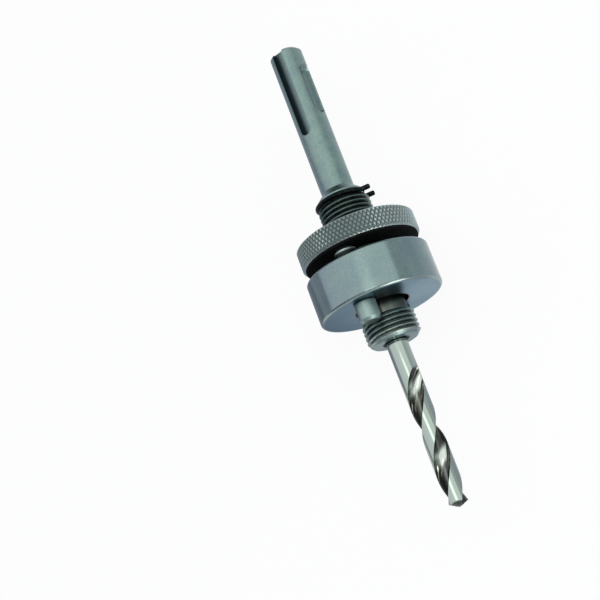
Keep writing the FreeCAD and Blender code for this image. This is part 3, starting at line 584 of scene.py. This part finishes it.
def thread_cutter(sizes):
    """Helical cutter of the thread's valley: a truncated V, screwed along the axis."""
    crest = sizes.major / 2
    root = crest - sizes.depth
    outer = crest + OVERCUT
    half_root = sizes.pitch * ROOT_FLAT / 2
    half_top = sizes.pitch * (1 - CREST_FLAT) / 2
    bpy.ops.mesh.primitive_plane_add(size=1)
    cutter = bpy.context.object
    cutter.name = "thread_cutter"
    # The plane's outline alone, with a point in the middle of each edge
    bpy.ops.object.mode_set(mode="EDIT")
    bpy.ops.mesh.delete(type="ONLY_FACE")
    bpy.ops.mesh.select_all(action="SELECT")
    bpy.ops.mesh.subdivide(number_cuts=1)
    bpy.ops.object.mode_set(mode="OBJECT")
    # From the root's rear corner round to the top's rear corner, in X and radius
    corners = {
        (-1, -1): (-half_root, root),
        (0, -1): (0, root),
        (1, -1): (half_root, root),
        (1, 0): (half_top, crest),
        (1, 1): (half_top, outer),
        (0, 1): (0, outer),
        (-1, 1): (-half_top, outer),
        (-1, 0): (-half_top, crest),
    }
    # The plane's corners and the middles of its edges lie at -1/2, 0 and 1/2
    for corner in cutter.data.vertices:
        across, radius = corners[round(corner.co.x * 2), round(corner.co.y * 2)]
        corner.co = (sizes.rear_end + across, 0, radius)
    turns = (sizes.front_end - sizes.rear_end) / sizes.pitch
    screw = cutter.modifiers.new("screw", "SCREW")
    screw.axis = "X"
    screw.steps = sizes.steps
    screw.render_steps = sizes.steps
    screw.iterations = math.ceil(turns)
    screw.screw_offset = sizes.pitch
    screw.use_smooth_shade = False
    select_only(cutter)
    bpy.ops.object.modifier_apply(modifier="screw")
    bpy.ops.object.mode_set(mode="EDIT")
    bpy.ops.mesh.select_all(action="SELECT")
    bpy.ops.mesh.remove_doubles(threshold=CUTTER_MERGE)
    bpy.ops.mesh.fill_holes(sides=0)
    bpy.ops.mesh.select_all(action="SELECT")
    bpy.ops.mesh.normals_make_consistent(inside=False)
    bpy.ops.object.mode_set(mode="OBJECT")
    cutter.data.transform(Matrix.Rotation(sizes.start_turn, 4, AXIS))
    return cutter


def background_rays(tree):
    """The tree's light path, and 1 for the rays that show a background as white: the camera's,
    and those that pass through glass."""
    ray = add_node(tree, "ShaderNodeLightPath")
    straight = add_node(tree, "ShaderNodeMath",
                        links={0: ray.outputs["Is Camera Ray"], 1: ray.outputs["Is Transmission Ray"]},
                        operation="MAXIMUM")
    return ray, straight


def make_floor(colours):
    """White paper under the arbor. The camera sees it white, with the arbor's faint shadow. Metal
    shows it in soft greys: darker to the left, in the plate's shade and in the drill's."""
    lowest = min(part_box(name)[0].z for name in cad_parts)
    bpy.ops.object.select_all(action="DESELECT")
    bpy.ops.mesh.primitive_plane_add(size=FLOOR_SIZE, location=(0, 0, lowest))
    floor = bpy.context.object
    floor.name = "floor"
    material, tree, output = new_material("white_paper")
    place = add_node(tree, "ShaderNodeTexCoord").outputs["Object"]
    apart = add_node(tree, "ShaderNodeSeparateXYZ", links={0: place})
    # From the dark paper on the left, across the bright paper by the arbor, to the right
    lit = add_node(tree, "ShaderNodeMapRange", {"From Min": -32 * MM, "From Max": 8 * MM},
                   {"Value": apart.outputs["Y"]}, interpolation_type="SMOOTHSTEP")
    left = add_node(tree, "ShaderNodeMix", {"A": linear(colours.paper_left), "B": linear(colours.paper_near)},
                    {"Factor": lit}, data_type="RGBA")
    far = add_node(tree, "ShaderNodeMapRange", {"From Min": 12 * MM, "From Max": 80 * MM},
                   {"Value": apart.outputs["Y"]}, interpolation_type="SMOOTHSTEP")
    graded = add_node(tree, "ShaderNodeMix", {"B": linear(colours.paper_right)}, {"Factor": far, "A": left},
                      data_type="RGBA")
    # Beside the drill the near paper has the drill's shade, and the paper to the left is bright
    past = band(tree, apart.outputs["X"], 11.5, 17.0, 200.0, 300.0)
    close = add_node(tree, "ShaderNodeMix", {"A": linear(colours.paper), "B": linear(colours.paper_left)},
                     {"Factor": lit}, data_type="RGBA")
    by_drill = add_node(tree, "ShaderNodeMix", links={"Factor": past, "A": graded, "B": close},
                        data_type="RGBA")
    # The plate shades the paper to its left
    beside = band(tree, apart.outputs["X"], -55.0, -30.0, 0.0, 30.0)
    unlit = add_node(tree, "ShaderNodeMapRange", {"From Min": -6 * MM, "From Max": -34 * MM},
                     {"Value": apart.outputs["Y"]}, interpolation_type="SMOOTHSTEP")
    dark = add_node(tree, "ShaderNodeMath", links={0: beside, 1: unlit}, operation="MULTIPLY")
    shaded = add_node(tree, "ShaderNodeMix", {"B": linear(colours.paper_shade)},
                      {"Factor": dark, "A": by_drill}, data_type="RGBA")
    ray, straight = background_rays(tree)
    white = add_node(tree, "ShaderNodeMix", {"A": WHITE},
                     {"Factor": ray.outputs["Is Glossy Ray"], "B": shaded}, data_type="RGBA")
    background = add_node(tree, "ShaderNodeEmission", {"Strength": 1.0}, {"Color": white})
    paper = add_node(tree, "ShaderNodeBsdfDiffuse", {"Color": linear(colours.paper)})
    seen = add_node(tree, "ShaderNodeMath", links={0: straight, 1: ray.outputs["Is Glossy Ray"]},
                    operation="MAXIMUM")
    share = add_node(tree, "ShaderNodeMath", {1: FLOOR_WHITE}, {0: seen}, operation="MULTIPLY")
    both = add_node(tree, "ShaderNodeMixShader", links={0: share, 1: paper, 2: background})
    tree.links.new(both.outputs[0], output.inputs["Surface"])
    floor.data.materials.append(material)


def make_world(studio, colours):
    """White walls. The camera sees them white. Metal shows the same walls as the lamps leave
    them: cooler on the left, dim behind the shank and again on the slant ahead of the drill."""
    world = bpy.data.worlds.new("studio")
    bpy.context.scene.world = world
    world.use_nodes = True
    tree = world.node_tree
    tree.nodes.clear()
    towards = add_node(tree, "ShaderNodeTexCoord").outputs["Generated"]
    parts = add_node(tree, "ShaderNodeSeparateXYZ", links={0: towards})
    side = add_node(tree, "ShaderNodeMapRange", {"From Min": -0.95, "From Max": 0.3},
                    {"Value": parts.outputs["Y"]}, interpolation_type="SMOOTHSTEP")
    tint = add_node(tree, "ShaderNodeMix",
                    {"A": linear(colours.wall_left), "B": linear(colours.wall_right)},
                    {"Factor": side}, data_type="RGBA")
    behind = add_node(tree, "ShaderNodeMapRange",
                      {"From Min": -0.85, "From Max": -0.5, "To Min": studio.wall * WALL_BEHIND,
                       "To Max": studio.wall},
                      {"Value": parts.outputs["X"]}, interpolation_type="SMOOTHSTEP")
    ahead = add_node(tree, "ShaderNodeMapRange",
                     {"From Min": 0.05, "From Max": 0.4, "To Min": 1.0, "To Max": WALL_AHEAD},
                     {"Value": parts.outputs["X"]}, interpolation_type="SMOOTHSTEP")
    # Straight ahead of the drill the wall is as bright as at the sides
    end_wall = add_node(tree, "ShaderNodeMapRange",
                        {"From Min": 0.6, "From Max": 0.85, "To Min": 0.0, "To Max": 1 - WALL_AHEAD},
                        {"Value": parts.outputs["X"]}, interpolation_type="SMOOTHSTEP")
    front = add_node(tree, "ShaderNodeMath", links={0: ahead, 1: end_wall}, operation="ADD")
    level = add_node(tree, "ShaderNodeMath", links={0: behind, 1: front}, operation="MULTIPLY")
    walls = add_node(tree, "ShaderNodeBackground", links={"Color": tint, "Strength": level})
    white = add_node(tree, "ShaderNodeBackground", {"Color": WHITE, "Strength": 1.0})
    _, straight = background_rays(tree)
    both = add_node(tree, "ShaderNodeMixShader", links={0: straight, 1: walls, 2: white})
    output = add_node(tree, "ShaderNodeOutputWorld")
    tree.links.new(both.outputs[0], output.inputs["Surface"])


def soft_box(name, brightness, place, target, size):
    """A rectangular soft box that faces a point. At a brightness of 1 a mirror shows it as white."""
    lamp = bpy.data.lights.new(name, "AREA")
    lamp.color = LAMP_TINT
    lamp.shape = "RECTANGLE"
    lamp.size, lamp.size_y = size
    lamp.energy = brightness * LAMP_WHITE * size[0] * size[1]
    box = bpy.data.objects.new(name, lamp)
    bpy.context.scene.collection.objects.link(box)
    box.location = place
    forward = (Vector(target) - Vector(place)).normalized()
    side = (AXIS - forward * AXIS.dot(forward)).normalized()
    up = (-forward).cross(side)
    turn = Matrix((side, up, -forward)).transposed()
    box.rotation_euler = turn.to_euler()
    box.visible_camera = False


class ARBOR_OT_body(bpy.types.Operator):
    """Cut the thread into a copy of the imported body"""

    bl_idname = "arbor.body"
    bl_label = "Threaded body"

    def execute(self, context):
        piece = copy_of_node("arbor_body", "arbor_body_threaded")
        cutter = thread_cutter(context.scene.arbor_sizes)
        cut = piece.modifiers.new("thread", "BOOLEAN")
        cut.operation = "DIFFERENCE"
        cut.object = cutter
        cut.solver = "EXACT"
        select_only(piece)
        bpy.ops.object.modifier_apply(modifier="thread")
        bpy.data.objects.remove(cutter)
        select_only(piece)
        bpy.ops.object.shade_smooth_by_angle(angle=SMOOTH_UNDER)
        if len(piece.data.polygons) < LEAST_CUT_FACES:
            raise RuntimeError("The thread wasn't cut into the body")
        dress(piece, turned_steel(context.scene.arbor_colours))
        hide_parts("arbor_body")
        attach(piece, "arbor")
        return {"FINISHED"}


class ARBOR_OT_finishes(bpy.types.Operator):
    """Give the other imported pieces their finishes"""

    bl_idname = "arbor.finishes"
    bl_label = "Finishes"

    def execute(self, context):
        colours = context.scene.arbor_colours
        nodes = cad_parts
        pin = pin_steel(colours)
        dress(nodes["lock_nut"], knurled_steel(colours))
        dress(nodes["drive_plate"], plate_steel(colours))
        dress(nodes["drive_pin_1"], pin)
        dress(nodes["drive_pin_2"], pin)
        dress(nodes["snap_ring"], black_oxide(colours, "black_oxide_wire"))
        dress(nodes["grub_screw"], black_oxide(colours, "black_oxide_screw"))
        dress(nodes["friction_washer"], black_fibre(colours))
        dress(nodes["pilot_drill"], drill_steel(colours))
        return {"FINISHED"}


class ARBOR_OT_stage(bpy.types.Operator):
    """Set up the white paper and walls, the soft boxes and the photograph's camera"""

    bl_idname = "arbor.stage"
    bl_label = "Studio"

    def execute(self, context):
        studio = context.scene.arbor_studio
        colours = context.scene.arbor_colours
        make_floor(colours)
        make_world(studio, colours)
        soft_box("top_soft_box", studio.top_light, *TOP_BOX)
        soft_box("strip_soft_box", studio.strip_light, *STRIP_BOX)
        soft_box("front_soft_box", studio.front_light, *FRONT_BOX)
        camera = bpy.data.objects.new("camera", bpy.data.cameras.new("camera"))
        context.scene.collection.objects.link(camera)
        camera.location = studio.camera_place
        camera.rotation_euler = Euler(studio.camera_turn)
        camera.data.lens = studio.lens
        camera.data.sensor_width = SENSOR_WIDTH
        camera.data.clip_start = CAMERA_NEAR
        camera.data.clip_end = CAMERA_FAR
        context.scene.camera = camera
        context.scene.view_settings.view_transform = "Standard"
        return {"FINISHED"}


class ARBOR_PT_sidebar(bpy.types.Panel):
    """The arbor's tools in the 3D view's sidebar"""

    bl_label = "Arbor"
    bl_idname = "ARBOR_PT_sidebar"
    bl_space_type = "VIEW_3D"
    bl_region_type = "UI"
    bl_category = "Arbor"

    def draw(self, context):
        for operator in OPERATORS:
            self.layout.operator(operator.bl_idname)
        for settings in (context.scene.arbor_sizes, context.scene.arbor_colours, context.scene.arbor_studio):
            box = self.layout.box()
            for name in settings.__annotations__:
                box.prop(settings, name)


OPERATORS = (ARBOR_OT_body, ARBOR_OT_finishes, ARBOR_OT_stage)
CLASSES = (ArborSizes, ArborColours, ArborStudio, *OPERATORS, ARBOR_PT_sidebar)


def register():
    for cls in CLASSES:
        bpy.utils.register_class(cls)
    bpy.types.Scene.arbor_sizes = PointerProperty(type=ArborSizes)
    bpy.types.Scene.arbor_colours = PointerProperty(type=ArborColours)
    bpy.types.Scene.arbor_studio = PointerProperty(type=ArborStudio)


def unregister():
    del bpy.types.Scene.arbor_studio
    del bpy.types.Scene.arbor_colours
    del bpy.types.Scene.arbor_sizes
    for cls in reversed(CLASSES):
        bpy.utils.unregister_class(cls)


def main():
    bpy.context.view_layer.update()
    register()
    bpy.ops.arbor.body()
    bpy.ops.arbor.finishes()
    bpy.ops.arbor.stage()


if __name__ == "__main__":
    main()
